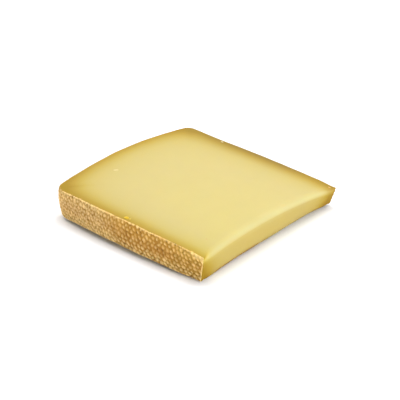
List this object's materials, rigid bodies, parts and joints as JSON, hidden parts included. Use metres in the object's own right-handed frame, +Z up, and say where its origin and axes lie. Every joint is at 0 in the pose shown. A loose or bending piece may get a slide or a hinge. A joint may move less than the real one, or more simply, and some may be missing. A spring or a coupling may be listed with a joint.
{
  "type": "gruyere cheese slice",
  "caption": "Thick square slice of hard pale-yellow cheese lying on its cut face, gently humped, with cloth-printed tan rind on the bowed edge and both flat sides.",
  "frame": {"origin": "on the floor under the middle of the slice", "axes": "+Z up; -X towards the bowed rim of the wheel, +X towards the plain cut; -Y and +Y towards the two flat rind sides"},
  "size_m": [0.1101, 0.1135, 0.0211],
  "materials": {
    "cheese": "smooth, slightly waxy pale-yellow paste, darker under the rind; dry tan rind with a woven print"
  },
  "bodies": {
    "root": {"gruyere_slice": "cheese"}
  },
  "joints": []
}
